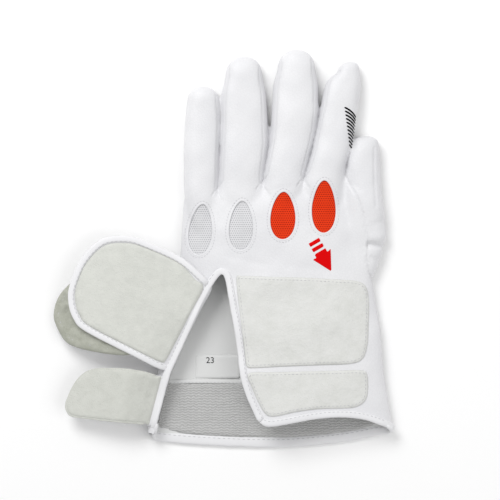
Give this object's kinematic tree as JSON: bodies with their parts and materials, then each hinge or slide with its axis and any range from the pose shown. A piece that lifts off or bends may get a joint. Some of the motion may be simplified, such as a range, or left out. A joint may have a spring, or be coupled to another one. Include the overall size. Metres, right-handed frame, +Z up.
{
  "type": "sports glove",
  "caption": "Thin white leather sports glove for the left hand, with mesh knuckle windows and a slit cuff closed by hook-and-loop tabs.",
  "frame": {"origin": "centre of the bounding box's base, on the palm's resting face", "axes": "+Y along the glove to the fingertips, +X to the thumb side, +Z up out of the back of the hand"},
  "size_m": [0.2073, 0.2415, 0.0192],
  "materials": {
    "white_leather": "satin synthetic leather",
    "palm_leather": "soft matt leather",
    "gusset_fabric": "stretch knit",
    "red_mesh": "fine open mesh",
    "white_mesh": "fine open mesh",
    "edge_tape": "folded edge tape, stitched",
    "loop_pile": "brushed loop",
    "loop_shade": "brushed loop over padding",
    "hook_facing": "hook tape",
    "knit_elastic": "ribbed knit elastic",
    "printed_label": "woven label, blank",
    "red_print": "printed ink film",
    "black_print": "printed ink film"
  },
  "bodies": {
    "hand": {"palm_panel": "palm_leather", "back_panel": "white_leather", "thumb_base": "white_leather", "knit_panel": "knit_elastic", "size_label": "printed_label", "arrow_print": "red_print", "slit_binding": "edge_tape", "cuff_binding": "edge_tape", "palm_binding": "edge_tape", "upper_loop_patch": "loop_pile", "lower_loop_patch": "loop_pile", "fork_little_ring": "gusset_fabric", "fork_ring_middle": "gusset_fabric", "fork_middle_index": "gusset_fabric", "mesh_little": "white_mesh", "mesh_ring": "white_mesh", "mesh_middle": "red_mesh", "mesh_index": "red_mesh"},
    "little_base": {"little_back_1": "white_leather", "little_palm_1": "palm_leather", "little_gussets_1": "gusset_fabric"},
    "little_end": {"little_back_2": "white_leather", "little_palm_2": "palm_leather", "little_gussets_2": "gusset_fabric"},
    "ring_base": {"ring_back_1": "white_leather", "ring_palm_1": "palm_leather", "ring_gussets_1": "gusset_fabric"},
    "ring_end": {"ring_back_2": "white_leather", "ring_palm_2": "palm_leather", "ring_gussets_2": "gusset_fabric"},
    "middle_base": {"middle_back_1": "white_leather", "middle_palm_1": "palm_leather", "middle_gussets_1": "gusset_fabric"},
    "middle_end": {"middle_back_2": "white_leather", "middle_palm_2": "palm_leather", "middle_gussets_2": "gusset_fabric"},
    "index_base": {"index_back_1": "white_leather", "index_palm_1": "palm_leather", "index_gussets_1": "gusset_fabric", "index_print": "black_print"},
    "index_end": {"index_back_2": "white_leather", "index_palm_2": "palm_leather", "index_gussets_2": "gusset_fabric"},
    "thumb_base": {"thumb_back_1": "white_leather", "thumb_palm_1": "palm_leather"},
    "thumb_end": {"thumb_back_2": "white_leather", "thumb_palm_2": "palm_leather"},
    "upper_tab": {"upper_tab_leather": "white_leather", "upper_tab_hook": "hook_facing", "upper_tab_binding": "edge_tape"},
    "second_tab": {"second_tab_pad": "loop_shade", "second_tab_lining": "white_leather"},
    "lower_strap": {"lower_strap_leather": "white_leather", "lower_strap_hook": "hook_facing", "lower_strap_binding": "edge_tape"}
  },
  "joints": [
    {"name": "little_knuckle", "type": "hinge", "parent": "hand", "child": "little_base", "pos_m": [-0.0125, 0.042, 0.0015], "axis": [-1, 0, 0], "range_deg": [0, 80]},
    {"name": "little_middle", "type": "hinge", "parent": "little_base", "child": "little_end", "pos_m": [-0.0125, 0.07, 0.0015], "axis": [-1, 0, 0], "range_deg": [0, 85]},
    {"name": "ring_knuckle", "type": "hinge", "parent": "hand", "child": "ring_base", "pos_m": [0.013, 0.051, 0.0015], "axis": [-1, 0, 0], "range_deg": [0, 80]},
    {"name": "ring_middle", "type": "hinge", "parent": "ring_base", "child": "ring_end", "pos_m": [0.013, 0.08, 0.0015], "axis": [-1, 0, 0], "range_deg": [0, 85]},
    {"name": "middle_knuckle", "type": "hinge", "parent": "hand", "child": "middle_base", "pos_m": [0.041, 0.054, 0.0015], "axis": [-1, 0, 0], "range_deg": [0, 80]},
    {"name": "middle_middle", "type": "hinge", "parent": "middle_base", "child": "middle_end", "pos_m": [0.041, 0.084, 0.0015], "axis": [-1, 0, 0], "range_deg": [0, 85]},
    {"name": "index_knuckle", "type": "hinge", "parent": "hand", "child": "index_base", "pos_m": [0.066, 0.054, 0.0015], "axis": [-1, 0, 0], "range_deg": [0, 80]},
    {"name": "index_middle", "type": "hinge", "parent": "index_base", "child": "index_end", "pos_m": [0.066, 0.087, 0.0015], "axis": [-1, 0, 0], "range_deg": [0, 85]},
    {"name": "thumb_spread", "type": "hinge", "parent": "hand", "child": "thumb_base", "pos_m": [0.0965, 0.034, 0.0015], "axis": [0, 0, -1], "range_deg": [0, 35]},
    {"name": "thumb_bend", "type": "hinge", "parent": "thumb_base", "child": "thumb_end", "pos_m": [0.0865, 0.053, 0.0015], "axis": [-1, 0, 0], "range_deg": [0, 65]},
    {"name": "upper_tab_fold", "type": "hinge", "parent": "hand", "child": "upper_tab", "pos_m": [-0.02012, -0.04713, 0.01925], "axis": [0.454, 0.891, 0], "range_deg": [0, 184]},
    {"name": "second_tab_peel", "type": "hinge", "parent": "upper_tab", "child": "second_tab", "pos_m": [-0.05458, -0.04079, 0.01373], "axis": [0.454, 0.891, 0], "range_deg": [-60, 0]},
    {"name": "lower_strap_fold", "type": "hinge", "parent": "hand", "child": "lower_strap", "pos_m": [-0.04162, -0.08912, 0.018], "axis": [0.2588, 0.9659, 0], "range_deg": [0, 189]}
  ]
}
